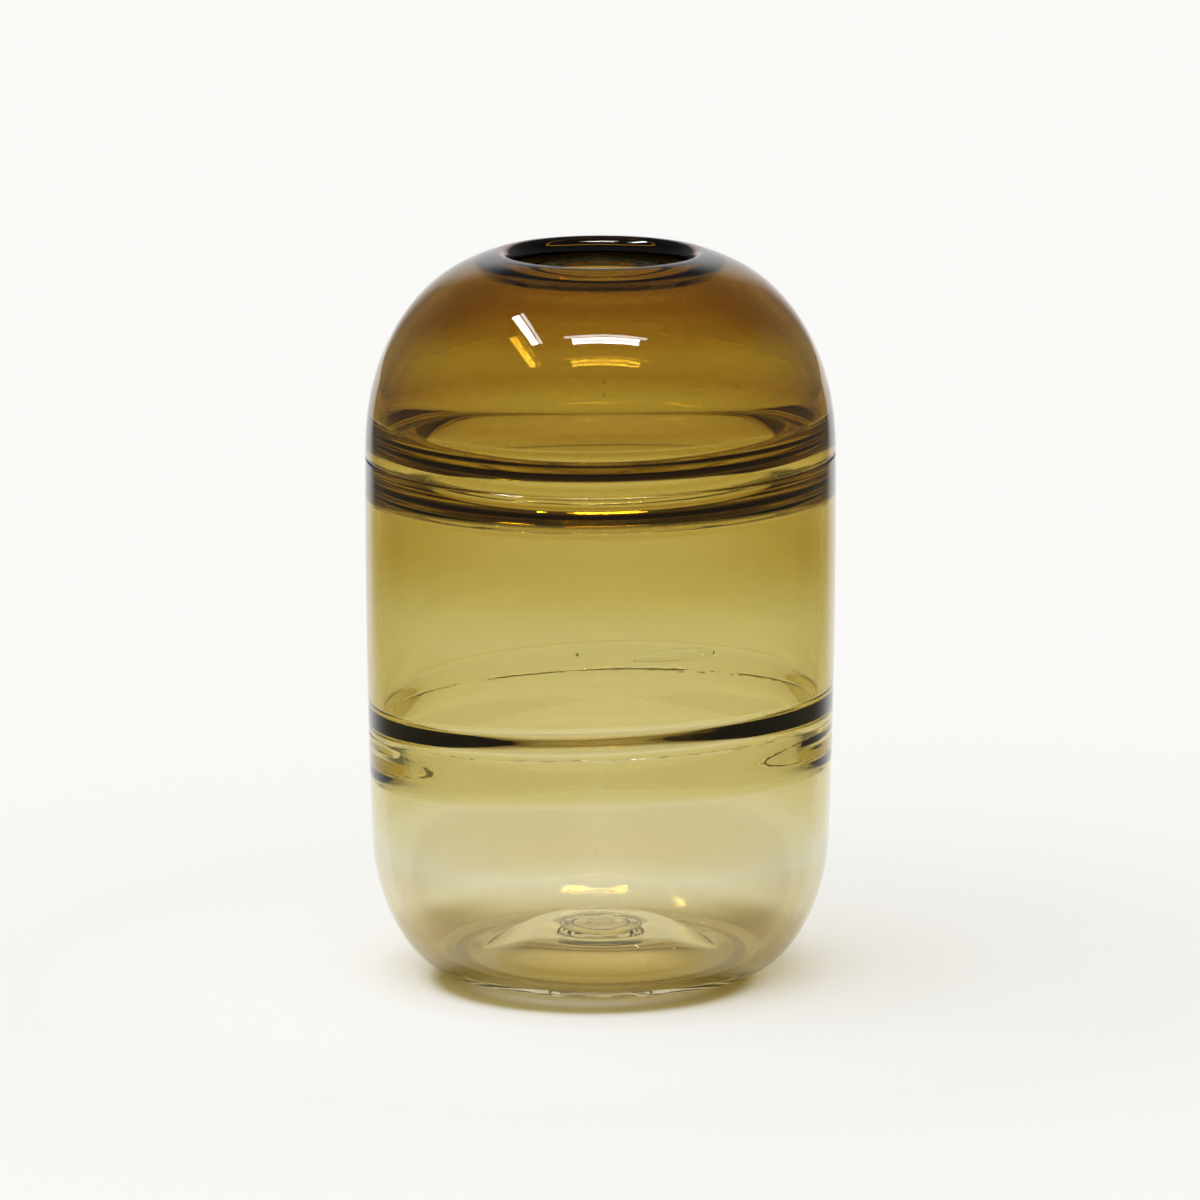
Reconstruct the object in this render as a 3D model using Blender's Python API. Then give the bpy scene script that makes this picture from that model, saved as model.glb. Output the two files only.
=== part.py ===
"""Glass bud vase: a blown amber vessel with two inward folds, in eight fused regions.

The vase stands on the ground plane with its axis on +Z. Lengths are in metres.
"""

from math import cos, pi, radians, sin

import bmesh
import bpy
import numpy as np
from mathutils import Vector
from mathutils.geometry import interpolate_bezier

# Overall size
HEIGHT = 0.139
MAX_RADIUS = 0.0449
WALL = 0.0028
SEAM_GAP = 0.0003
SEGMENTS = 36

# Foot, bottom corner and barrel
CONTACT_INNER_RADIUS = 0.0262
CONTACT_OUTER_RADIUS = 0.0285
CORNER_RADIUS_TOP = 0.0439
CORNER_HEIGHT = 0.0268
CORNER_POWER = 1.86
BARREL_BULGE = 0.0004

# Shoulder curve, from the barrel to the lip
SHOULDER_START = 0.101
SHOULDER_HANDLE = 0.0215
CROWN_HANDLE = 0.0133
CROWN_SLOPE = radians(13)

# Lip: a rolled bead with an oval section
LIP_CREST_RADIUS = 0.0194
LIP_HALF_WIDTH = 0.0023
LIP_HALF_DEPTH = 0.0032
LIP_SHOULDER_STEP = 0.0006

# Folds: height of the outer seam, radius of the eye, size of the rounded inner ridge
UPPER_FOLD = {"height": 0.0998, "eye": 0.0331, "tip": 0.0034, "fillet": 0.0050}
LOWER_FOLD = {"height": 0.0485, "eye": 0.0373, "tip": 0.0022, "fillet": 0.0023}
GROOVE_DEPTH = 0.0008
GROOVE_HALF_HEIGHT = 0.0006

# Heights of the fused seams between regions, on the outer surface
LIP_SEAM = 0.1370
BASE_SEAM = 0.0010

# Floor of the vase and the pontil mark under it
PUNT_RADIUS = 0.0235
PUNT_TOP = 0.0094
PUNT_VALLEY = 0.0037
PUNT_RECESS_RADIUS = 0.0086
PUNT_RECESS_HEIGHT = 0.0056
PONTIL_RADIUS = 0.0080
PONTIL_THICKNESS = 0.0015
PONTIL_EDGE = 0.0004

# Colour of the glass, from the deep shoulder to the pale foot
DEEP_AMBER = (0.36, 0.20, 0.035)
FOLD_AMBER = (0.44, 0.28, 0.06)
OLIVE_AMBER = (0.56, 0.42, 0.14)
LIGHT_AMBER = (0.64, 0.53, 0.24)
PALE_STRAW = (0.76, 0.68, 0.44)


def clear_scene():
    for item in list(bpy.data.objects):
        bpy.data.objects.remove(item, do_unlink=True)


def bottom_corner(steps=80):
    """Superellipse from the contact ring up to the foot of the barrel."""
    span = CORNER_RADIUS_TOP - CONTACT_OUTER_RADIUS
    turn = np.linspace(0, pi / 2, steps)
    power = 2 / CORNER_POWER
    radius = CONTACT_OUTER_RADIUS + span * np.sin(turn) ** power
    height = CORNER_HEIGHT * (1 - np.abs(np.cos(turn)) ** power)
    return np.column_stack([radius, height])


def barrel(steps=80):
    """Nearly straight side, a little fuller in the middle."""
    share = np.linspace(0, 1, steps)
    taper = CORNER_RADIUS_TOP + (MAX_RADIUS - CORNER_RADIUS_TOP) * share
    radius = taper + BARREL_BULGE * 4 * share * (1 - share)
    height = CORNER_HEIGHT + (SHOULDER_START - CORNER_HEIGHT) * share
    return np.column_stack([radius, height])


def lip_foot():
    """Where the shoulder's curve meets the lip's bead."""
    drop = LIP_SHOULDER_STEP * CROWN_SLOPE / 2
    return LIP_CREST_RADIUS + LIP_SHOULDER_STEP, HEIGHT - drop


def shoulder(steps=160):
    """Domed shoulder, upright at the barrel and gently sloped at the lip."""
    radius, height = lip_foot()
    start = Vector((MAX_RADIUS, SHOULDER_START))
    end = Vector((radius, height))
    crown = Vector((cos(CROWN_SLOPE), -sin(CROWN_SLOPE))) * CROWN_HANDLE
    rise = Vector((0, SHOULDER_HANDLE))
    points = interpolate_bezier(start, start + rise, end + crown, end, steps)
    return np.array([point[:2] for point in points])


def meridian():
    """Outer outline from the contact ring to the lip, and its inward normals."""
    curve = np.vstack([bottom_corner(), barrel()[1:], shoulder()[1:]])
    tangent = np.gradient(curve, axis=0)
    tangent /= np.linalg.norm(tangent, axis=1)[:, None]
    inward = np.column_stack([-tangent[:, 1], tangent[:, 0]])
    return curve, inward


OUTER, INWARD = meridian()
ALONG = np.concatenate([[0], np.cumsum(np.linalg.norm(np.diff(OUTER, axis=0), axis=1))])


def place(height):
    """Distance along the outline at which it reaches a height."""
    return float(np.interp(height, OUTER[:, 1], ALONG))


def on_outline(distance, depth=0.0):
    """Points of the outline at these distances, moved inwards by depth."""
    point = np.column_stack([np.interp(distance, ALONG, OUTER[:, k]) for k in (0, 1)])
    normal = np.column_stack([np.interp(distance, ALONG, INWARD[:, k]) for k in (0, 1)])
    return point + normal * depth


def band(low, high, count, depth=0.0):
    """Evenly spaced points between two heights, short of each seam by half its gap."""
    start = place(low) + SEAM_GAP / 2
    end = place(high) - SEAM_GAP / 2
    return on_outline(np.linspace(start, end, count), depth)


def wall_section(low, high, count):
    """Closed section of plain wall between two seams."""
    outside = band(low, high, count)
    inside = band(low, high, count, WALL)
    return np.vstack([outside[::-1], inside])


def fold_reach(fold):
    return fold["tip"] + fold["fillet"]


def fold_ridge(fold):
    """Inner ridge of a fold: fillet, rounded tip, fillet, from bottom to top."""
    tip = fold["tip"]
    fillet = fold["fillet"]
    wall_radius = float(np.interp(fold["height"], OUTER[:, 1], OUTER[:, 0])) - WALL
    reach = wall_radius - fold["eye"]
    sweep = np.linspace(0, pi / 2, 5)
    rise = [(fillet * (1 - cos(a)), fillet * sin(a) - tip - fillet) for a in sweep]
    nose = [(reach - tip + tip * cos(a), tip * sin(a)) for a in np.linspace(-pi / 2, pi / 2, 7)]
    fall = [(out, -up) for out, up in reversed(rise)]
    inside = on_outline(ALONG, WALL)
    points = []
    for out, up in rise + nose + fall:
        height = fold["height"] + up
        points.append((float(np.interp(height, inside[:, 1], inside[:, 0])) - out, height))
    return np.array(points)


def fold_section(fold):
    """Closed section of a fold: plain outside with a fine groove, ridge inside."""
    low = fold["height"] - fold_reach(fold)
    high = fold["height"] + fold_reach(fold)
    centre = place(fold["height"])
    rim = GROOVE_HALF_HEIGHT
    upper = np.linspace(place(high) - SEAM_GAP / 2, centre + rim, 4)
    lower = np.linspace(centre - rim, place(low) + SEAM_GAP / 2, 4)
    groove = on_outline(np.array([centre]), GROOVE_DEPTH)
    ends = band(low, high, 2, WALL)
    ridge = fold_ridge(fold)[1:-1]
    return np.vstack([on_outline(upper), groove, on_outline(lower), ends[:1], ridge, ends[1:]])


def lip_section():
    """Closed section of the rolled lip: crest, round inner edge, tucked-in lower edge."""
    start = place(LIP_SEAM) + SEAM_GAP / 2
    outside = on_outline(np.linspace(start, ALONG[-1], 5))
    centre = HEIGHT - LIP_HALF_DEPTH
    bead = []
    for angle in np.linspace(radians(90), radians(300), 11):
        radius = LIP_CREST_RADIUS + LIP_HALF_WIDTH * cos(angle)
        bead.append((radius, centre + LIP_HALF_DEPTH * sin(angle)))
    root = on_outline(np.array([start]), WALL)
    return np.vstack([root, outside, np.array(bead)])


def base_section():
    """Half section of the floor, from the axis over the punt, round the foot and back."""
    seam = place(BASE_SEAM) - SEAM_GAP / 2
    edge_inside = on_outline(np.array([seam]), WALL)
    foot = on_outline(np.linspace(seam, 0, 4))
    share = np.linspace(0, 1, 8)
    floor_height = PUNT_VALLEY + (PUNT_TOP - PUNT_VALLEY) * (1 + np.cos(pi * share)) / 2
    floor = np.column_stack([PUNT_RADIUS * share, floor_height])
    rise = PUNT_RECESS_HEIGHT * (1 - np.cos(pi * share)) / 2
    width = CONTACT_INNER_RADIUS + (PUNT_RECESS_RADIUS - CONTACT_INNER_RADIUS) * share
    underside = np.column_stack([width, rise])
    centre = np.array([[0, PUNT_RECESS_HEIGHT]])
    return np.vstack([floor, edge_inside, foot, underside, centre])


def pontil_section():
    """Half section of the broken-off button: a flat disc with a soft lower rim."""
    top = PUNT_RECESS_HEIGHT - SEAM_GAP
    bottom = top - PONTIL_THICKNESS
    return np.array([
        (0, top),
        (PONTIL_RADIUS, top),
        (PONTIL_RADIUS, bottom + PONTIL_EDGE),
        (PONTIL_RADIUS - PONTIL_EDGE, bottom),
        (0, bottom),
    ])


def glass(name, colour):
    material = bpy.data.materials.new(name)
    material.use_nodes = True
    shader = material.node_tree.nodes["Principled BSDF"]
    shader.inputs["Base Color"].default_value = (*colour, 1)
    shader.inputs["Metallic"].default_value = 0
    shader.inputs["Roughness"].default_value = 0.03
    shader.inputs["IOR"].default_value = 1.5
    shader.inputs["Transmission Weight"].default_value = 1
    return material


def turned(name, section, material, parent, on_axis=False):
    """Solid of revolution about Z. A section on the axis is open, any other is a closed loop."""
    shape = bmesh.new()
    corners = [shape.verts.new((radius, 0, height)) for radius, height in section]
    sides = [shape.edges.new(pair) for pair in zip(corners, corners[1:])]
    if not on_axis:
        sides.append(shape.edges.new((corners[-1], corners[0])))
    bmesh.ops.spin(shape, geom=corners + sides, cent=(0, 0, 0), axis=(0, 0, 1),
                   angle=2 * pi, steps=SEGMENTS, use_merge=True)
    bmesh.ops.remove_doubles(shape, verts=shape.verts, dist=1e-6)
    bmesh.ops.recalc_face_normals(shape, faces=shape.faces)
    mesh = bpy.data.meshes.new(name)
    shape.to_mesh(mesh)
    shape.free()
    mesh.shade_smooth()
    mesh.set_sharp_from_angle(angle=radians(35))
    mesh.materials.append(material)
    piece = bpy.data.objects.new(name, mesh)
    piece.parent = parent
    bpy.context.scene.collection.objects.link(piece)
    return piece


def main():
    clear_scene()
    vase = bpy.data.objects.new("glass_bud_vase", None)
    bpy.context.scene.collection.objects.link(vase)

    upper_top = UPPER_FOLD["height"] + fold_reach(UPPER_FOLD)
    upper_foot = UPPER_FOLD["height"] - fold_reach(UPPER_FOLD)
    lower_top = LOWER_FOLD["height"] + fold_reach(LOWER_FOLD)
    lower_foot = LOWER_FOLD["height"] - fold_reach(LOWER_FOLD)

    deep = glass("deep_amber", DEEP_AMBER)
    straw = glass("pale_straw", PALE_STRAW)
    turned("lip_ring", lip_section(), deep, vase)
    turned("shoulder_dome", wall_section(upper_top, LIP_SEAM, 10), deep, vase)
    turned("upper_fold_ring", fold_section(UPPER_FOLD), glass("fold_amber", FOLD_AMBER), vase)
    turned("middle_barrel", wall_section(lower_top, upper_foot, 4),
           glass("olive_amber", OLIVE_AMBER), vase)
    turned("lower_fold_ring", fold_section(LOWER_FOLD), glass("light_amber", LIGHT_AMBER), vase)
    turned("lower_cup", wall_section(BASE_SEAM, lower_foot, 10), straw, vase)
    turned("base", base_section(), straw, vase, on_axis=True)
    turned("pontil_mark", pontil_section(), straw, vase, on_axis=True)


main()
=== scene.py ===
"""Studio render of the glass bud vase: one blown vessel in eight fused pieces.

All lengths are in metres. The vase's axis is +Z and the camera looks along +Y.
Angles round the vase are measured from +X towards +Y, so the front is at -90 degrees.
Shader sockets are reached by number where a Mix node repeats a name: 2 and 3 are its floats,
6 and 7 its colours.
"""

from math import cos, pi, radians, sin

import bpy
import numpy as np
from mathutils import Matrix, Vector


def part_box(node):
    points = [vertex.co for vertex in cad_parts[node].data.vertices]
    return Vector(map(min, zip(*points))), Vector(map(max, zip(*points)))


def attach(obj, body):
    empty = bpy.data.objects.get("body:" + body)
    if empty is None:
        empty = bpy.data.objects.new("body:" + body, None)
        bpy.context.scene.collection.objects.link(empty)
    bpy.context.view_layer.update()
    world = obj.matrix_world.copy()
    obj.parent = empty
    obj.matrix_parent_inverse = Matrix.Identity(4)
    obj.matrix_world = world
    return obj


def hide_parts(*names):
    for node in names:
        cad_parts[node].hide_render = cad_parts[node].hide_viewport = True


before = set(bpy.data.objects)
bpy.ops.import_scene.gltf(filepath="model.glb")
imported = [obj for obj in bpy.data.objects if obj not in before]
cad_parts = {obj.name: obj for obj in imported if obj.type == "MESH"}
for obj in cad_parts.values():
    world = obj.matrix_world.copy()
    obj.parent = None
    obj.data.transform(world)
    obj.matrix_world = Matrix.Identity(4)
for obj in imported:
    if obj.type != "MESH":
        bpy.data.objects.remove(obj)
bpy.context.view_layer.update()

MM = 0.001
AROUND = 180
ANGLES = np.arange(AROUND) * 2 * pi / AROUND

# Driving sizes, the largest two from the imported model
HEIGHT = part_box("lip_ring")[1][2]
MAX_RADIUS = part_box("middle_barrel")[1][0] - 0.05 * MM
# thickness of the wall at heights, both in mm
WALL_SIZES = [(0, 2.8), (94, 2.8), (104, 2.1), (114, 2.0), (122, 2.4), (130, 3.0), (137, 3.3), (139, 3.3)]
LIP_SEAM = 137.7 * MM
BASE_SEAM = 1.0 * MM
SEAM_CLEARANCE = 0.004 * MM

# Outline of the outside
CONTACT_INNER_RADIUS = 26.2 * MM
CONTACT_OUTER_RADIUS = 28.5 * MM
CORNER_RADIUS_TOP = 43.9 * MM
CORNER_HEIGHT = 26.8 * MM
CORNER_POWER = 1.86
CORNER_ROWS_TOP = 30 * MM
BARREL_BULGE = 0.4 * MM
SHOULDER_START = 101 * MM
SHOULDER_HANDLE = 21.5 * MM
CROWN_HANDLE = 13.3 * MM
CROWN_SLOPE = radians(13)
LIP_CREST_RADIUS = 19.4 * MM
LIP_HALF_WIDTH = 2.3 * MM
LIP_HALF_DEPTH = 3.0 * MM
LIP_SHOULDER_STEP = 0.6 * MM
LIP_DROOP = 0.55 * MM
LIP_DROOP_START = 132.5 * MM
LIP_DROOP_RISE = 5.5 * MM
LIP_ARC = (radians(75), radians(285))
LIP_HOOK = 0.9 * MM
LIP_HOOK_RISE = 0.3 * MM

# Floor and pontil mark
FLOOR_THICKNESS = 3.5 * MM
PUNT_RECESS_RADIUS = 8.6 * MM
PUNT_RECESS_HEIGHT = 5.4 * MM
PONTIL_RADIUS = 8.0 * MM
PONTIL_THICKNESS = 0.6 * MM
# distance from the edge of the button to its groove
PONTIL_EDGE = 2.4 * MM
PONTIL_HOLLOW = 0.25 * MM
PONTIL_ROUGHNESS = 0.035 * MM


def upper_fold_height(angle):
    """Height of the upper fold's seam, which waves a little."""
    return (99.75 + 0.45 * np.cos(angle) + 0.35 * np.cos(2 * angle) + 0.17 * np.sin(angle)) * MM


def lower_fold_height(angle):
    """Height of the lower fold's seam, which tilts down to the left."""
    return (48.7 + 1.6 * np.cos(angle) - 0.5 * np.cos(2 * angle)) * MM


# The upper fold is a closed ridge, given by the radius of its eye and by its nose and fillet above and
# below the seam. The lower one is a soft swelling. "breaks" is how far its seam fades in places.
UPPER = {"height": upper_fold_height, "eye": 33.1 * MM, "above": (3.4 * MM, 5.0 * MM),
         "below": (5.0 * MM, 3.6 * MM), "groove": 0.3 * MM, "groove_half": 0.4 * MM, "breaks": 0.0}
LOWER = {"height": lower_fold_height, "above": 6.0 * MM, "below": 10.0 * MM,
         "groove": 0.2 * MM, "groove_half": 0.35 * MM, "breaks": 1.0}
SWELLING_START = 24 * MM


def lower_fold_depth(angle):
    """How far the lower fold swells inwards: more at the sides than in front and behind."""
    return (2.74 + 0.49 * np.cos(2 * (angle + radians(5)))) * MM


def half_wave(share):
    """One at zero, falling softly to zero at one and staying there."""
    return (1 + np.cos(pi * np.clip(share, 0, 1))) / 2


def swelling(height):
    """How far the lower fold pushes the inside of the wall inwards at a height, for each angle.

    The upper flank is steep and the lower one gentle.
    """
    up = height - lower_fold_height(ANGLES)
    return lower_fold_depth(ANGLES) * np.where(up > 0, half_wave(up / LOWER["above"]),
                                               half_wave(-up / LOWER["below"]))


# ---------------------------------------------------------------- outline

def bezier(p0, p1, p2, p3, steps):
    """Points along a cubic curve."""
    t = np.linspace(0, 1, steps)[:, None]
    return (1 - t) ** 3 * p0 + 3 * (1 - t) ** 2 * t * p1 + 3 * (1 - t) * t ** 2 * p2 + t ** 3 * p3


def outer_outline():
    """Outside of the vessel from the contact ring to the lip's crest, with inward normals."""
    turn = np.linspace(0, pi / 2, 200)
    power = 2 / CORNER_POWER
    span = CORNER_RADIUS_TOP - CONTACT_OUTER_RADIUS
    corner = np.column_stack([
        CONTACT_OUTER_RADIUS + span * np.sin(turn) ** power,
        CORNER_HEIGHT * (1 - np.abs(np.cos(turn)) ** power)])
    share = np.linspace(0, 1, 200)
    taper = CORNER_RADIUS_TOP + (MAX_RADIUS - CORNER_RADIUS_TOP) * share
    side = np.column_stack([
        taper + BARREL_BULGE * 4 * share * (1 - share),
        CORNER_HEIGHT + (SHOULDER_START - CORNER_HEIGHT) * share])
    lip = np.array([LIP_CREST_RADIUS + LIP_SHOULDER_STEP, HEIGHT - LIP_SHOULDER_STEP * CROWN_SLOPE / 2])
    start = np.array([MAX_RADIUS, SHOULDER_START])
    crown = np.array([cos(CROWN_SLOPE), -sin(CROWN_SLOPE)]) * CROWN_HANDLE
    dome = bezier(start, start + [0, SHOULDER_HANDLE], lip + crown, lip, 400)
    curve = np.vstack([corner, side[1:], dome[1:]])
    tangent = np.gradient(curve, axis=0)
    tangent /= np.linalg.norm(tangent, axis=1)[:, None]
    return curve, np.column_stack([-tangent[:, 1], tangent[:, 0]])


OUTER, INWARD = outer_outline()
ALONG = np.concatenate([[0], np.cumsum(np.linalg.norm(np.diff(OUTER, axis=0), axis=1))])


def wall(height):
    """Thickness of the wall: even in the barrel, thin at the shoulder, thick at the lip."""
    heights, sizes = np.array(WALL_SIZES).T
    return np.interp(height, heights * MM, sizes * MM)


INNER = OUTER + INWARD * wall(OUTER[:, 1])[:, None]


def place(height):
    """Distance along the outline at which the outside reaches a height."""
    return np.interp(height, OUTER[:, 1], ALONG)


def inner_at(distance):
    """Radius and height of the inside of the wall at these distances along the outside."""
    return np.interp(distance, ALONG, INNER[:, 0]), np.interp(distance, ALONG, INNER[:, 1])


def outer_at(distance, depth=0.0):
    """Radius and height of the outline at these distances, moved inwards by depth."""
    radius = np.interp(distance, ALONG, OUTER[:, 0]) + np.interp(distance, ALONG, INWARD[:, 0]) * depth
    height = np.interp(distance, ALONG, OUTER[:, 1]) + np.interp(distance, ALONG, INWARD[:, 1]) * depth
    return radius, height


def inner_place(height):
    """Distance along the outline at which the inside of the wall reaches a height."""
    return np.interp(height, INNER[:, 1], ALONG)


def inner_radius(height):
    """Radius of the inside of the wall at a height, without the folds."""
    return np.interp(height, INNER[:, 1], INNER[:, 0])


# ---------------------------------------------------------------- rows of the vessel
# A row is one loop round the vase: a pair of arrays (radius, height) with one value per angle.

def rows_between(start, end, count, at=outer_at):
    """Rows along the outside or the inside from one place to another, both ends included."""
    return [at(start + (end - start) * t) for t in np.linspace(0, 1, count)]


def groove_rows(fold):
    """Fine pinched seam on the outside of a fold, from below to above."""
    centre = place(fold["height"](ANGLES))
    # the seam is whole where this wave is at one and fades where it is lower
    wave = 0.75 + np.sin(7 * ANGLES + 1) * np.cos(3 * ANGLES) + 0.3 * np.sin(17 * ANGLES)
    strength = 1 - fold["breaks"] * (1 - np.clip(wave, 0, 1))
    rows = []
    for t in np.linspace(-1, 1, 13):
        offset = np.sign(t) * abs(t) ** 1.5 * fold["groove_half"]
        depth = strength * fold["groove"] * (1 - abs(t) ** 1.5) ** 1.6
        rows.append(outer_at(centre + offset, depth))
    return rows


def ridge_rows(fold):
    """Inner ridge of the upper fold from below to above: fillet, rounded nose, fillet."""
    middle = fold["height"](ANGLES)
    (nose_above, fillet_above), (nose_below, fillet_below) = fold["above"], fold["below"]
    nose = (nose_above + nose_below) / 2
    depth = inner_radius(middle) - fold["eye"]
    profile = []
    for a in np.linspace(0, pi / 2, 19):
        profile.append((fillet_below * (1 - cos(a)), fillet_below * sin(a) - nose_below - fillet_below))
    for a in np.linspace(-pi / 2, pi / 2, 41):
        profile.append((depth - nose + nose * cos(a), (nose_above if a > 0 else nose_below) * sin(a)))
    for a in np.linspace(pi / 2, 0, 19):
        profile.append((fillet_above * (1 - cos(a)), nose_above + fillet_above - fillet_above * sin(a)))
    return [(inner_radius(middle + up) - out, middle + up) for out, up in profile]


def swelling_rows(low, high, count):
    """Rows on the inside of the wall between two heights, with the lower fold's swelling."""
    rows = []
    for t in np.linspace(0, 1, count):
        height = low + (high - low) * t
        rows.append((inner_radius(height) - swelling(height), height))
    return rows


def lip_rows():
    """Rolled lip from the crest over the round inner edge to the tucked-in lower edge."""
    centre = HEIGHT - LIP_HALF_DEPTH
    rows = []
    for angle in np.linspace(*LIP_ARC, 31):
        radius = LIP_CREST_RADIUS + LIP_HALF_WIDTH * cos(angle)
        rows.append((np.full(AROUND, radius), np.full(AROUND, centre + LIP_HALF_DEPTH * sin(angle))))
    return rows


def level(radius, height):
    """Row of one radius and one height all round."""
    return np.full(AROUND, radius), np.full(AROUND, height)


def punt_height(radius):
    """Height of the underside over the standing face."""
    return PUNT_RECESS_HEIGHT * half_wave((radius - PUNT_RECESS_RADIUS)
                                          / (CONTACT_INNER_RADIUS - PUNT_RECESS_RADIUS))


def lip_droop(height):
    """The mouth leans forward a little: the front of the lip sits lower than its back."""
    share = 1 - half_wave((height - LIP_DROOP_START) / LIP_DROOP_RISE)
    return -LIP_DROOP * share * (1 - np.sin(ANGLES)) / 2


def vessel_rows():
    """Every row of the vessel's skin in order, and where each piece starts and ends.

    The order is: underside centre, contact ring, outside going up, lip, inside going down,
    floor centre. Cuts are the rows at which one piece ends and the next begins.
    """
    low_fold, high_fold = LOWER["height"](ANGLES), UPPER["height"](ANGLES)
    low_top, low_bottom = low_fold + LOWER["above"], low_fold - LOWER["below"]
    high_top, high_bottom = high_fold + sum(UPPER["above"]), high_fold - sum(UPPER["below"])
    rows, cuts = [], {}

    def add(new):
        rows.extend(new if not rows else new[1:])

    def cut(name):
        cuts[name] = len(rows) - 1

    # underside: pontil seat, punt, contact ring
    add([level(PONTIL_RADIUS, PUNT_RECESS_HEIGHT), level(PUNT_RECESS_RADIUS, PUNT_RECESS_HEIGHT)])
    share = np.linspace(0, 1, 24)
    width = PUNT_RECESS_RADIUS + (CONTACT_INNER_RADIUS - PUNT_RECESS_RADIUS) * share
    add([level(w, punt_height(w)) for w in width])
    add([level(w, 0) for w in np.linspace(CONTACT_INNER_RADIUS, CONTACT_OUTER_RADIUS, 4)])

    # outside, going up
    zero = np.zeros(AROUND)
    add(rows_between(zero, zero + place(BASE_SEAM), 7))
    cut("base_out")
    corner_top = zero + place(CORNER_ROWS_TOP)
    add(rows_between(zero + place(BASE_SEAM), corner_top, 32))
    add(rows_between(corner_top, place(low_bottom), 8))
    cut("cup_out")
    add(rows_between(place(low_bottom), place(low_fold) - LOWER["groove_half"], 8))
    add(groove_rows(LOWER))
    add(rows_between(place(low_fold) + LOWER["groove_half"], place(low_top), 6))
    cut("low_fold_out")
    add(rows_between(place(low_top), place(high_bottom), 18))
    cut("barrel_out")
    add(rows_between(place(high_bottom), place(high_fold) - UPPER["groove_half"], 8))
    add(groove_rows(UPPER))
    add(rows_between(place(high_fold) + UPPER["groove_half"], place(high_top), 8))
    cut("high_fold_out")
    add(rows_between(place(high_top), zero + place(LIP_SEAM), 36))
    cut("dome_out")
    add(rows_between(zero + place(LIP_SEAM), zero + ALONG[-1], 10))

    # lip and inside, going down
    add([rows[-1]] + lip_rows())
    start = np.array([rows[-1][0][0], rows[-1][1][0]])
    end, beyond = (np.array(inner_at(place(LIP_SEAM) - step)) for step in (0, LIP_HOOK_RISE))
    back = (end - beyond) / np.linalg.norm(end - beyond)
    hook = bezier(start, start + [LIP_HOOK, LIP_HOOK_RISE], end + back * LIP_HOOK, end, 10)
    add([level(*point) for point in hook])
    cut("dome_in")
    add(rows_between(zero + place(LIP_SEAM), inner_place(high_top), 36, inner_at))
    cut("high_fold_in")
    add(ridge_rows(UPPER)[::-1])
    cut("barrel_in")
    between = [high_bottom + (low_top - high_bottom) * t for t in np.linspace(0, 1, 18)]
    add([(inner_radius(height), height) for height in between])
    cut("low_fold_in")
    add(swelling_rows(low_fold, low_top, 31)[::-1])
    add(swelling_rows(low_bottom, low_fold, 31)[::-1])
    cut("cup_in")
    add(swelling_rows(zero + SWELLING_START, low_bottom, 14)[::-1])
    add(rows_between(zero + inner_place(SWELLING_START), zero + place(BASE_SEAM), 26, inner_at))
    cut("base_in")
    seam_radius, seam_height = rows[-1][0][0], rows[-1][1][0]
    for t in np.linspace(0, 1, 40)[1:]:
        radius = seam_radius * (1 - t)
        blend = max(0.0, (radius - CONTACT_INNER_RADIUS) / (seam_radius - CONTACT_INNER_RADIUS)) ** 2
        rows.append(level(max(radius, 0.0), punt_height(radius) + FLOOR_THICKNESS
                          + (seam_height - FLOOR_THICKNESS) * blend))
    return [(radius, height + lip_droop(height)) for radius, height in rows], cuts


def to_points(rows):
    """Array of points, row by row."""
    radius = np.array([row[0] for row in rows])
    height = np.array([row[1] for row in rows])
    return np.stack([radius * np.cos(ANGLES), radius * np.sin(ANGLES), height], axis=-1)


def grid_normals(points):
    """Smooth outward normals of the whole skin, so that no seam shows as a crease."""
    along = np.gradient(points, axis=0)
    across = np.roll(points, -1, axis=1) - np.roll(points, 1, axis=1)
    normal = np.cross(across, along)
    length = np.linalg.norm(normal, axis=-1, keepdims=True)
    normal = normal / np.maximum(length, 1e-15)
    normal[length[..., 0] < 1e-13] = (0, 0, 1)
    return normal


# ---------------------------------------------------------------- shader nodes

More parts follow.
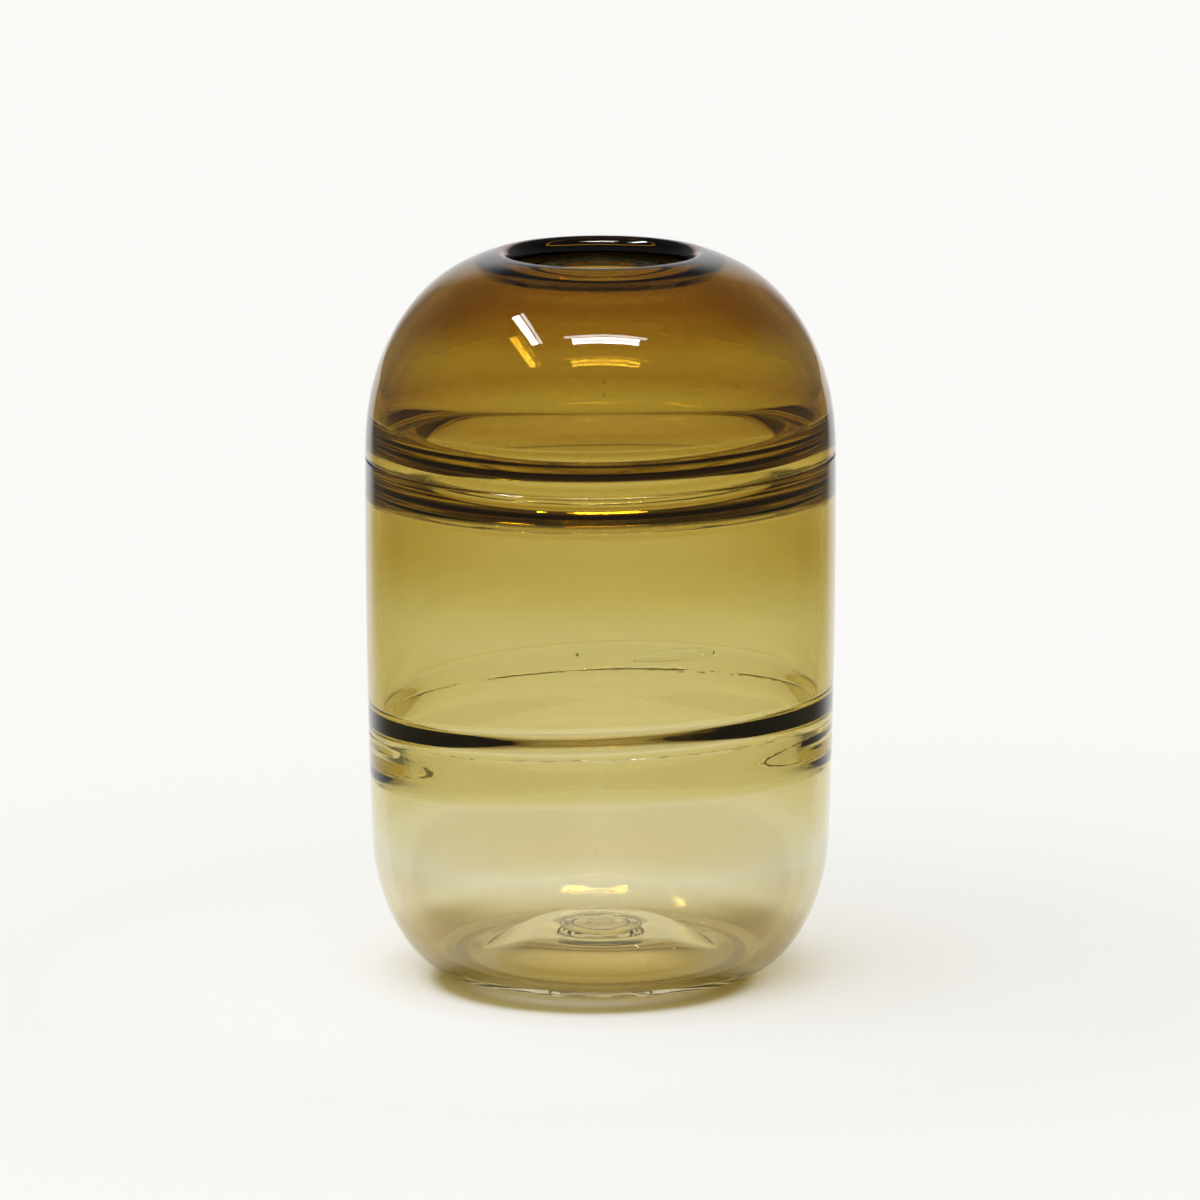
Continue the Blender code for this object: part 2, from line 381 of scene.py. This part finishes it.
class Nodes:
    """Adds nodes to a tree. Each helper returns the new node's output."""

    def __init__(self, tree):
        self.tree = tree

    def new(self, kind):
        return self.tree.nodes.new(kind)

    def feed(self, socket, value):
        if isinstance(value, bpy.types.NodeSocket):
            self.tree.links.new(value, socket)
        else:
            socket.default_value = value

    def fill(self, sockets, values):
        for socket, value in zip(sockets, values):
            self.feed(socket, value)

    def split(self, vector):
        """The x, y and z of a vector."""
        node = self.new("ShaderNodeSeparateXYZ")
        self.feed(node.inputs[0], vector)
        return node.outputs

    def math(self, operation, *values):
        node = self.new("ShaderNodeMath")
        node.operation = operation
        self.fill(node.inputs, values)
        return node.outputs[0]

    def vector(self, operation, *values):
        node = self.new("ShaderNodeVectorMath")
        node.operation = operation
        self.fill(node.inputs, values)
        return node.outputs["Value" if operation == "LENGTH" else "Vector"]

    def remap(self, value, start, end, first=0.0, last=1.0, soft=True):
        """Takes a value from start...end to first...last and holds it there beyond."""
        node = self.new("ShaderNodeMapRange")
        node.interpolation_type = "SMOOTHSTEP" if soft else "LINEAR"
        self.fill(node.inputs, (value, start, end, first, last))
        return node.outputs[0]

    def mix(self, factor, a, b):
        node = self.new("ShaderNodeMix")
        node.data_type = "FLOAT"
        self.fill((node.inputs[0], node.inputs[2], node.inputs[3]), (factor, a, b))
        return node.outputs[0]

    def colours(self, factor, a, b, blend="MIX"):
        node = self.new("ShaderNodeMix")
        node.data_type = "RGBA"
        node.blend_type = blend
        self.fill((node.inputs[0], node.inputs[6], node.inputs[7]), (factor, a, b))
        return node.outputs[2]

    def attribute(self, name):
        node = self.new("ShaderNodeAttribute")
        node.attribute_name = name
        return node.outputs["Fac"]

    def ramp(self, value, stops):
        """Colours along a value, from (value, colour) stops."""
        low, high = stops[0][0], stops[-1][0]
        node = self.new("ShaderNodeValToRGB")
        self.feed(node.inputs["Fac"], self.remap(value, low, high, soft=False))
        elements = node.color_ramp.elements
        while len(elements) < len(stops):
            elements.new(0.5)
        for element, (at, colour) in zip(elements, stops):
            element.position = (at - low) / (high - low)
            element.color = (*colour, 1)
        return node.outputs["Color"]


# ---------------------------------------------------------------- glass

# Optical depth of one wall (red, green, blue) at heights in mm: partly the glass's own amber and
# partly painted shade, where an even share in all three colours darkens the wall for the darker
# surroundings seen through it
WALL_DEPTHS = [
    (0, 0.45, 0.62, 1.40),
    (4, 0.20, 0.29, 0.75),
    (8, 0.09, 0.135, 0.44),
    (12, 0.15, 0.24, 0.57),
    (20, 0.165, 0.205, 0.41),
    (25, 0.10, 0.11, 0.22),
    (32, 0.17, 0.24, 0.65),
    (42, 0.235, 0.325, 0.86),
    (50, 0.25, 0.35, 0.93),
    (58, 0.18, 0.26, 0.74),
    (71, 0.27, 0.345, 0.86),
    (84, 0.45, 0.65, 1.80),
    (90, 0.36, 0.53, 1.40),
    (96, 0.30, 0.44, 1.2),
    (101, 0.38, 0.57, 1.6),
    (105, 0.42, 0.61, 1.75),
    (110, 0.72, 1.13, 2.75),
    (118, 0.43, 0.64, 1.88),
    (123, 0.54, 0.83, 2.1),
    (127, 0.77, 1.25, 3.0),
    (131, 0.74, 1.20, 2.9),
    (139, 0.58, 0.95, 2.3),
]
# the same for the thick floor
BASE_DEPTHS = [
    (0, 0.42, 0.58, 1.30),
    (1.5, 0.17, 0.25, 0.64),
    (3, 0.05, 0.10, 0.34),
    (12, 0.03, 0.07, 0.30),
]
BASE_TINT_TOP = 12 * MM
TINT_STOPS = 12
# Share of the palest depth of a piece that is in the absorbing layer and not in the tint
BODY_SHARE = 0.95
FOLD_BODY_SHARE = 0.5
LAYER_TOP = 0.06 * MM
LAYER_THICKNESS = 0.3 * MM
GLASS_IOR = 1.5
WHITE = (1, 1, 1, 1)


def wall_depth(height, depths):
    """Red, green and blue depth at a height."""
    table = np.array(depths)
    return np.array([np.interp(height, table[:, 0] * MM, table[:, k]) for k in (1, 2, 3)])


def glass(name, low, high, body_share=BODY_SHARE, depths=WALL_DEPTHS):
    """Clear amber glass: its colour is a tint by height, which is partly painted shade, and a layer's
    absorption where it has one.

    Faces with the attribute "seam" are the fused joints to the next piece, which light crosses
    unchanged. Faces with the attribute "void" are the walls of bubbles, which have no tint.
    """
    material = bpy.data.materials.new(name)
    material.use_nodes = True
    shader = material.node_tree.nodes["Principled BSDF"]
    shader.inputs["Roughness"].default_value = 0.0
    shader.inputs["IOR"].default_value = GLASS_IOR
    shader.inputs["Transmission Weight"].default_value = 1.0
    add = Nodes(material.node_tree)
    add.feed(shader.inputs["Alpha"], add.math("SUBTRACT", 1.0, add.attribute("seam")))

    heights = np.linspace(low, high, TINT_STOPS)
    walls = np.array([wall_depth(height, depths) for height in heights])
    body = walls.min(axis=0) * body_share
    height = add.split(add.new("ShaderNodeTexCoord").outputs["Object"])["Z"]
    tint = add.ramp(height, list(zip(heights, np.exp(body - walls))))
    add.feed(shader.inputs["Base Color"], add.colours(add.attribute("void"), tint, WHITE))
    if not body_share:
        return [material]
    return [material, amber_layer(name + "_layer", body / LAYER_THICKNESS)]


def amber_layer(name, per_metre):
    """Thin layer of coloured glass under the inner skin, which only absorbs."""
    material = bpy.data.materials.new(name)
    material.use_nodes = True
    tree = material.node_tree
    tree.nodes.remove(tree.nodes["Principled BSDF"])
    output = tree.nodes["Material Output"]
    clear = tree.nodes.new("ShaderNodeBsdfTransparent")
    tree.links.new(clear.outputs[0], output.inputs["Surface"])
    absorption = tree.nodes.new("ShaderNodeVolumeAbsorption")
    absorption.inputs["Color"].default_value = (*(1 - per_metre / per_metre.max()), 1)
    absorption.inputs["Density"].default_value = float(per_metre.max())
    tree.links.new(absorption.outputs[0], output.inputs["Volume"])
    return material


# ---------------------------------------------------------------- bubbles
# A bubble is (angle in degrees, height, depth, half length, half height and half thickness in mm,
# tilt): a small closed void inside the wall, stretched along it.

# round seeds: angle in degrees, height and radius in mm
SEEDS = [(-89, 120.4, 0.25), (-89, 118.1, 0.22), (-93.5, 120.1, 0.15), (-66, 116.4, 0.14),
         (-61, 114.7, 0.12), (-52, 118.4, 0.2), (-95.6, 69.3, 0.28), (-88.6, 47.0, 0.12),
         (-88.4, 44.2, 0.14), (-90.8, 32.0, 0.13), (-91, 31.2, 0.1), (-87, 32.0, 0.1),
         (-131, 36.5, 0.12), (-30, 63, 0.12), (40, 110, 0.15), (150, 84, 0.14), (95, 58, 0.15)]
SEED_DEPTH = 0.9
LONG_BUBBLE = (-71.5, 68.4, 1.2, 8.0, 1.7, 0.09, 0.04)
# strings of trapped air in the lower seam: first and last angle in degrees, number, random seed
AIR_STRINGS = [(-88, -42, 34, 3), (-112, -95, 14, 4), (-132, -121, 5, 5), (20, 170, 60, 6)]
AIR_DEPTH = 0.55
AIR_SCATTER = 0.1
AIR_HALF_LENGTHS = (0.15, 1.1)
AIR_RADII = (0.05, 0.11)


def seeds_between(low, high):
    """Round seeds at heights between two limits in mm."""
    return [(angle, height, SEED_DEPTH, size, size, size, 0.0) for angle, height, size in SEEDS
            if low <= height < high]


def trapped_air(fold, first, last, number, seed):
    """Short dashes of air left in the seam of a fold between two angles in degrees."""
    draw = np.random.default_rng(seed)
    dashes = []
    for angle in np.sort(draw.uniform(first, last, number)):
        height = float(fold["height"](radians(angle))) / MM + draw.normal(0, AIR_SCATTER)
        size = draw.uniform(*AIR_RADII)
        dashes.append((angle, height, AIR_DEPTH, draw.uniform(*AIR_HALF_LENGTHS), size, size, 0.0))
    return dashes


def bubble_mesh(bubble, around=14, along=10):
    """Vertices, faces and normals of one bubble, facing into its air."""
    angle, height, depth, length, rise, thickness, tilt = bubble
    radius, middle = outer_at(place(height * MM), depth * MM)
    size = np.array([length, rise, thickness]) * MM
    points, outward = [], []
    for u in np.linspace(0, pi, along + 1):
        for v in np.arange(around) * 2 * pi / around:
            local = np.array([-cos(u), sin(u) * sin(v), sin(u) * cos(v)])
            t, up, out = local * size
            turn = radians(angle) + t / radius
            points.append(((radius + out) * cos(turn), (radius + out) * sin(turn),
                           middle + up + tilt * t))
            t, up, out = local / size
            outward.append(Vector((out * cos(turn) - t * sin(turn), out * sin(turn) + t * cos(turn),
                                   up)).normalized())
    faces = []
    for i in range(along):
        for j in range(around):
            k = (j + 1) % around
            face = [i * around + j, (i + 1) * around + j, (i + 1) * around + k, i * around + k]
            if i == 0:
                face = [0, (i + 1) * around + j, (i + 1) * around + k]
            elif i == along - 1:
                face = [i * around + j, along * around, i * around + k]
            faces.append(face[::-1])
    return points, faces, [-n for n in outward]


# ---------------------------------------------------------------- pieces

def make_piece(name, node, slot, skin, materials, closed_by, poles=(), seats=(), layer=None,
               bubbles=()):
    """Mesh of one piece from strips of the vessel's skin.

    skin is a list of (points, normals) strips. closed_by lists pairs of ends ((strip, row),
    (strip, row)) that a fused seam joins. poles and seats list (strip, row) ends that close on the
    axis, with glass or with a fused seam. layer is the strip that has the absorbing layer under it.
    """
    vertices, faces, normals = [], [], []
    starts = []
    for points, _ in skin:
        starts.append(len(vertices))
        vertices.extend(points.reshape(-1, 3).tolist())

    def vertex(strip, row, column):
        rows = skin[strip][0].shape[0]
        return starts[strip] + (row % rows) * AROUND + column % AROUND

    for strip, (points, normal) in enumerate(skin):
        for row in range(points.shape[0] - 1):
            for column in range(AROUND):
                corners = [(row, column), (row, column + 1), (row + 1, column + 1), (row + 1, column)]
                faces.append([vertex(strip, r, c) for r, c in corners])
                normals.extend(normal[r, c % AROUND] for r, c in corners)
    walls = len(faces)
    for bubble in bubbles:
        points, sides, facing = bubble_mesh(bubble)
        used = sorted({k for side in sides for k in side})
        number = {k: len(vertices) + order for order, k in enumerate(used)}
        vertices.extend(points[k] for k in used)
        faces.extend([number[k] for k in side] for side in sides)
        normals.extend(tuple(facing[k]) for side in sides for k in side)
    first_seam = len(faces)
    for (a, row_a), (b, row_b) in closed_by:
        for column in range(AROUND):
            faces.append([vertex(a, row_a, column), vertex(b, row_b, column),
                          vertex(b, row_b, column + 1), vertex(a, row_a, column + 1)])
    for strip, row in seats:
        faces.append(end_face(strip, row, vertex))
    first_pole = len(faces)
    for strip, row in poles:
        faces.append(end_face(strip, row, vertex))
    first_layer = len(faces)
    if layer is not None:
        faces.extend(layer_faces(skin[layer], vertices))

    mesh = bpy.data.meshes.new(name)
    mesh.from_pydata(vertices, [], faces)
    for material in materials:
        mesh.materials.append(material)
    every = range(len(faces))
    mesh.polygons.foreach_set("material_index", [int(k >= first_layer) for k in every])
    mesh.polygons.foreach_set("use_smooth", [True] * len(faces))
    for attribute, start, end in (("seam", first_seam, first_pole), ("void", walls, first_seam)):
        marks = mesh.attributes.new(attribute, "FLOAT", "FACE")
        marks.data.foreach_set("value", [float(start <= k < end) for k in every])
    mesh.update()
    # the corners of seams, ends and layers keep their face's own normal
    for polygon in list(mesh.polygons)[first_seam:]:
        normals.extend([tuple(polygon.normal)] * polygon.loop_total)
    mesh.normals_split_custom_set([tuple(n) for n in normals])
    piece = bpy.data.objects.new(name, mesh)
    bpy.context.scene.collection.objects.link(piece)
    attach(piece, "root")
    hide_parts(node)


def end_face(strip, row, vertex):
    """One flat face over an end row of a strip, facing out of the glass."""
    ring = [vertex(strip, row, column) for column in range(AROUND)]
    return ring if row else ring[::-1]


def layer_faces(strip, vertices):
    """Closed thin layer under a strip of skin: its near side, its far side and both ends."""
    points, normals = strip
    count = points.shape[0]
    start = len(vertices)
    for depth in (LAYER_TOP, LAYER_TOP + LAYER_THICKNESS):
        vertices.extend((points - normals * depth).reshape(-1, 3).tolist())

    def corner(side, row, column):
        return start + (side * count + row) * AROUND + column % AROUND

    faces = []
    last = count - 1
    for column in range(AROUND):
        after = column + 1
        for row in range(last):
            faces.append([corner(0, row, column), corner(0, row, after),
                          corner(0, row + 1, after), corner(0, row + 1, column)])
            faces.append([corner(1, row, column), corner(1, row + 1, column),
                          corner(1, row + 1, after), corner(1, row, after)])
        faces.append([corner(0, 0, after), corner(0, 0, column),
                      corner(1, 0, column), corner(1, 0, after)])
        faces.append([corner(0, last, column), corner(0, last, after),
                      corner(1, last, after), corner(1, last, column)])
    return faces


def clear_seam(points, end):
    """Draw one end row of a strip back a hair, so that it doesn't touch the next piece."""
    toward = points[1 if end == 0 else -2] - points[end]
    toward /= np.linalg.norm(toward, axis=-1, keepdims=True)
    points[end] += toward * SEAM_CLEARANCE


def build_vessel():
    """The seven pieces that are cut from the vessel's skin."""
    rows, cuts = vessel_rows()
    points = to_points(rows)
    normals = grid_normals(points)

    def strip(start, end):
        return points[start:end + 1].copy(), normals[start:end + 1]

    def ring(name, slot, below, above, low, high, body_share=BODY_SHARE, bubbles=()):
        """Piece between two seams: an outside strip, an inside strip and the seams between them.

        Its glass takes its colour from the heights low...high in mm.
        """
        outside = strip(cuts[below + "_out"], cuts[above + "_out"])
        inside = strip(cuts[above + "_in"], cuts[below + "_in"])
        for skin in (outside, inside):
            clear_seam(skin[0], 0)
            clear_seam(skin[0], -1)
        make_piece(name + "_glass", name, slot, [outside, inside],
                   glass(name + "_glass", low * MM, high * MM, body_share),
                   [((0, 0), (1, -1)), ((1, 0), (0, -1))], layer=1, bubbles=bubbles)

    ring("lower_cup", "pale_straw_glass", "base", "cup", 0, 46, bubbles=seeds_between(4, 37))
    air = [dash for string in AIR_STRINGS for dash in trapped_air(LOWER, *string)]
    ring("lower_fold_ring", "light_amber_glass", "cup", "low_fold", 36, 58, FOLD_BODY_SHARE,
         seeds_between(43, 53) + air)
    ring("middle_barrel", "olive_amber_glass", "low_fold", "barrel", 48, 94,
         bubbles=seeds_between(59, 90) + [LONG_BUBBLE])
    ring("upper_fold_ring", "fold_amber_glass", "barrel", "high_fold", 88, 112, FOLD_BODY_SHARE)
    ring("shoulder_dome", "deep_amber_glass", "high_fold", "dome", 104, 139,
         bubbles=seeds_between(109, 136))

    # the lip: one strip from the outer seam over the crest to the inner seam
    lip = strip(cuts["dome_out"], cuts["dome_in"])
    clear_seam(lip[0], 0)
    clear_seam(lip[0], -1)
    make_piece("lip_ring_glass", "lip_ring", "deep_amber_glass", [lip],
               glass("lip_ring_glass", 104 * MM, 139 * MM), [((0, 0), (0, -1))], layer=0)

    # the base: underside and floor, the seam round its edge and the pontil's seat underneath
    under, floor = strip(0, cuts["base_out"]), strip(cuts["base_in"], len(points) - 2)
    clear_seam(under[0], -1)
    clear_seam(floor[0], 0)
    make_piece("base_glass", "base", "pale_straw_glass", [under, floor],
               glass("base_glass", 0, BASE_TINT_TOP, 0, BASE_DEPTHS),
               [((1, 0), (0, -1))], poles=[(1, -1)], seats=[(0, 0)])


def pontil_mark():
    """Low button of glass where the pontil rod was cracked off.

    From the edge inwards it thins to a groove, and inside the groove is a rough broken hollow.
    """
    top = PUNT_RECESS_HEIGHT - SEAM_CLEARANCE
    bottom = PUNT_RECESS_HEIGHT - PONTIL_THICKNESS
    profile = [(PONTIL_RADIUS, top)]
    for share in np.linspace(0, 1, 11)[1:]:
        profile.append((PONTIL_RADIUS - PONTIL_EDGE * share, top + (bottom - top) * half_wave(share)))
    for t in np.linspace(0, 1, 22)[1:-1]:
        radius = (PONTIL_RADIUS - PONTIL_EDGE) * (1 - t)
        profile.append((radius, bottom + PONTIL_HOLLOW * (1 - (1 - t) ** 4)))
    rows = []
    for radius, height in reversed(profile):
        share = radius / PONTIL_RADIUS
        ripples = (np.sin(5 * ANGLES + 9 * share) * share + 0.6 * np.sin(9 * ANGLES - 14 * share) * share
                   + 0.5 * sin(20 * share))
        rough = PONTIL_ROUGHNESS * ripples * (share <= 0.9)
        rows.append((np.full(AROUND, radius), height + rough))
    points = to_points(rows)
    make_piece("pontil_mark_glass", "pontil_mark", "pale_straw_glass", [(points, grid_normals(points))],
               glass("pontil_mark_glass", 0, BASE_TINT_TOP, 0, BASE_DEPTHS), [], poles=[(0, 0)],
               seats=[(0, -1)])


# ---------------------------------------------------------------- studio

# what the camera sees behind the vase, and what the glass sees: sweep, room and ceiling
BACKDROP = 0.93
BACKDROP_COLOUR = (1.0, 0.998, 0.99, 1)
SWEEP = 0.95
ROOM = 0.18
CEILING = 0.10
# degrees from straight behind over which the sweep ends, for light through the glass and for the rest
SWEEP_EDGE = (18, 36)
SWEEP_EDGE_REFLECTED = (6, 24)
SWEEP_TOP = (20, 38)
# centre, half size, turn and radiance of each panel, on a ceiling one unit above the vase
LAMPS = [
    ((0.045, -0.467), (0.275, 0.05), 0.0, 15),
    ((0.045, -0.441), (0.275, 0.010), 0.0, 50),
    ((0.045, -0.493), (0.275, 0.010), 0.0, 50),
    ((0.045, -0.397), (0.33, 0.016), 0.0, 12),
    ((-0.565, -0.16), (0.036, 0.25), radians(1), 24),
    ((-0.553, -0.16), (0.009, 0.25), radians(1), 50),
    ((-0.583, -0.16), (0.009, 0.25), radians(1), 50),
    ((-0.505, -0.16), (0.013, 0.26), radians(1), 12),
]
# least height of a direction at which the ceiling is looked up
LEAST_HEIGHT = 0.02
# light for the floor: strongest from the upper left
KEY_DIRECTION = (-0.55, -0.1, 0.83)
KEY_SPREAD = (0.3, 1.0)
DOME_LEVELS = (0.74, 1.54)

FLOOR_HALF_SIZE = 4.0
FLOOR_DROP = 0.2 * MM
# Painted light and shade: as the glass shows it, the floor is lit behind the vase and shaded in front.
# The floor is dark in front and at the sides and bright behind: it changes where y less the slope
# times |x| crosses this range in metres. The first slope is for light off the glass, the second for
# light through it. The camera sees the floor in one even colour.
TABLE_FADE = (-0.32, -0.02)
TABLE_SLOPES = (2.0, 1.1)
TABLE_DARK = (0.21, 0.185, 0.125, 1)
TABLE_BRIGHT = (0.92, 0.92, 0.913, 1)
TABLE_SEEN = (0.862, 0.86, 0.85, 1)
# tint of the light that reaches the floor through the vase, and its share at radii in mm; where the
# share is negative the floor is a little brighter than without the vase
AMBER_TINT = (0.48, 0.41, 0.19)
AMBER_POOL = [(0, 0.0), (16, 0.0), (22, 0.35), (26, 1.0), (29, 1.0), (31.8, 0.12), (34, -0.1),
              (45, -0.15), (70, -0.09), (110, 0.0)]
POOL_CENTRE = (-1.5, -10.5)
# painted contact shade: this tint darkens the floor on the ring that the vase stands on
CONTACT_SHADE_TINT = (0.45, 0.36, 0.18, 1)
# shade beside the foot, as the glass shows it: it comes and goes over these radii, and comes in
# over this distance to the side, all in mm
SHADE_TINT = (0.6, 0.51, 0.31, 1)
SHADE_INNER = (30, 36)
SHADE_OUTER = (44, 62)
SHADE_SIDE = (16, 36)


def build_floor():
    """Studio floor, with the amber light and shade that the vase throws on it."""
    mesh = bpy.data.meshes.new("studio_floor")
    size = FLOOR_HALF_SIZE
    mesh.from_pydata([(-size, -size, 0), (size, -size, 0), (size, size, 0), (-size, size, 0)], [],
                     [(0, 1, 2, 3)])
    floor = bpy.data.objects.new("studio_floor", mesh)
    floor.location.z = -FLOOR_DROP
    bpy.context.scene.collection.objects.link(floor)
    material = bpy.data.materials.new("studio_floor")
    material.use_nodes = True
    shader = material.node_tree.nodes["Principled BSDF"]
    shader.inputs["Roughness"].default_value = 0.9
    shader.inputs["Specular IOR Level"].default_value = 0.0
    add = Nodes(material.node_tree)
    position = add.new("ShaderNodeNewGeometry").outputs["Position"]
    path = add.new("ShaderNodeLightPath").outputs
    x, y, _ = add.split(position)
    aside = add.math("ABSOLUTE", x)
    from_axis = add.vector("LENGTH", position)

    # painted light and shade: bright behind and near the vase, falling off to the front and the sides
    off_glass, through_glass = TABLE_SLOPES
    slope = add.math("MULTIPLY_ADD", path["Is Transmission Ray"], off_glass - through_glass, -off_glass)
    lit = add.remap(add.math("MULTIPLY_ADD", aside, slope, y), *TABLE_FADE)
    colour = add.colours(lit, TABLE_DARK, TABLE_BRIGHT)
    colour = add.colours(path["Is Camera Ray"], colour, TABLE_SEEN)

    # painted amber shadow and light under the vase, up to the edge of its overhang, and painted
    # contact shade on the ring that it stands on
    centre = (-POOL_CENTRE[0] * MM, -POOL_CENTRE[1] * MM, 0)
    away = add.vector("LENGTH", add.vector("MULTIPLY_ADD", position, (1, 1, 0), centre))
    pool = add.ramp(away, [(radius * MM, [1 - share * (1 - tint) for tint in AMBER_TINT])
                           for radius, share in AMBER_POOL])
    colour = add.colours(1.0, colour, pool, "MULTIPLY")
    in_contact_shade = add.math("COMPARE", from_axis, (CONTACT_INNER_RADIUS + CONTACT_OUTER_RADIUS) / 2,
                       (CONTACT_OUTER_RADIUS - CONTACT_INNER_RADIUS) / 2)
    colour = add.colours(in_contact_shade, colour, CONTACT_SHADE_TINT, "MULTIPLY")

    # shade beside the foot
    share = path["Is Transmission Ray"]
    for distance, (start, end), levels in ((from_axis, SHADE_INNER, (0, 1)),
                                           (from_axis, SHADE_OUTER, (1, 0)),
                                           (aside, SHADE_SIDE, (0, 1))):
        share = add.math("MULTIPLY", share, add.remap(distance, start * MM, end * MM, *levels))
    colour = add.colours(share, colour, SHADE_TINT, "MULTIPLY")
    add.feed(shader.inputs["Base Color"], colour)
    mesh.materials.append(material)


def build_world():
    """Studio round the vase: white sweep behind, dim room in front, lamp panels on the ceiling."""
    world = bpy.data.worlds.new("studio")
    bpy.context.scene.world = world
    world.use_nodes = True
    world.node_tree.nodes.clear()
    add = Nodes(world.node_tree)
    path = add.new("ShaderNodeLightPath").outputs
    x, y, z = add.split(add.new("ShaderNodeTexCoord").outputs["Generated"])

    # white behind the vase, grey room at the sides and in front, dark above
    flat = add.math("SQRT", add.math("ADD", add.math("MULTIPLY", x, x), add.math("MULTIPLY", y, y)))
    behind = add.math("DIVIDE", y, add.math("MAXIMUM", flat, 0.001))
    near, far = [add.mix(path["Is Transmission Ray"], cos(radians(reflected)), cos(radians(seen)))
                 for reflected, seen in zip(SWEEP_EDGE_REFLECTED, SWEEP_EDGE)]
    wall = add.remap(behind, far, near, ROOM, SWEEP)
    below_top = add.remap(z, sin(radians(SWEEP_TOP[0])), sin(radians(SWEEP_TOP[1])), 1.0, 0.0)
    total = add.mix(below_top, CEILING, wall)

    # lamp panels on a ceiling one unit above
    above = add.math("MAXIMUM", z, LEAST_HEIGHT)
    across, forward = add.math("DIVIDE", x, above), add.math("DIVIDE", y, above)
    for (centre_x, centre_y), (half_x, half_y), turn, strength in LAMPS:
        dx = add.math("SUBTRACT", across, centre_x)
        dy = add.math("SUBTRACT", forward, centre_y)
        u = add.math("ADD", add.math("MULTIPLY", dx, cos(turn)), add.math("MULTIPLY", dy, sin(turn)))
        v = add.math("SUBTRACT", add.math("MULTIPLY", dy, cos(turn)),
                     add.math("MULTIPLY", dx, sin(turn)))
        inside = add.math("MULTIPLY", add.math("LESS_THAN", add.math("ABSOLUTE", u), half_x),
                          add.math("LESS_THAN", add.math("ABSOLUTE", v), half_y))
        total = add.math("ADD", total, add.math("MULTIPLY", inside, strength))

    # light for the floor: an even dome, a little stronger from the key direction
    key = Vector(KEY_DIRECTION).normalized()
    facing = add.math("ADD", add.math("ADD", add.math("MULTIPLY", x, key.x),
                                      add.math("MULTIPLY", y, key.y)),
                      add.math("MULTIPLY", z, key.z))
    dome = add.remap(facing, *KEY_SPREAD, *DOME_LEVELS)
    total = add.mix(add.math("GREATER_THAN", path["Diffuse Depth"], 0.5), total, dome)
    total = add.mix(path["Is Camera Ray"], total, BACKDROP)

    background = add.new("ShaderNodeBackground")
    background.inputs["Color"].default_value = BACKDROP_COLOUR
    add.feed(background.inputs["Strength"], total)
    add.feed(add.new("ShaderNodeOutputWorld").inputs[0], background.outputs[0])
    world.cycles.sampling_method = "NONE"


# ---------------------------------------------------------------- camera and look

CAMERA_PITCH = radians(10.7)
CAMERA_DISTANCE = 1.722
CAMERA_TARGET = (-0.1 * MM, 0, 71.4 * MM)
CAMERA_LENS = 270
LIGHT_BOUNCES = 40
GLOSSY_BOUNCES = 24


def build_camera():
    """Camera in front of the vase, looking slightly down."""
    camera = bpy.data.cameras.new("camera")
    camera.lens = CAMERA_LENS
    camera.sensor_width = 36
    camera.clip_end = 50
    holder = bpy.data.objects.new("camera", camera)
    away = Vector((0, -cos(CAMERA_PITCH), sin(CAMERA_PITCH))) * CAMERA_DISTANCE
    holder.location = Vector(CAMERA_TARGET) + away
    holder.rotation_euler = (pi / 2 - CAMERA_PITCH, 0, 0)
    bpy.context.scene.collection.objects.link(holder)
    bpy.context.scene.camera = holder


def render_look():
    """Plain colours, and enough bounces for light to cross every wall."""
    scene = bpy.context.scene
    scene.view_settings.view_transform = "Standard"
    scene.cycles.max_bounces = LIGHT_BOUNCES
    scene.cycles.transmission_bounces = LIGHT_BOUNCES
    scene.cycles.glossy_bounces = GLOSSY_BOUNCES
    scene.cycles.transparent_max_bounces = LIGHT_BOUNCES
    scene.cycles.sample_clamp_indirect = 0
    scene.cycles.blur_glossy = 0


build_camera()
render_look()
build_world()
build_floor()
build_vessel()
pontil_mark()
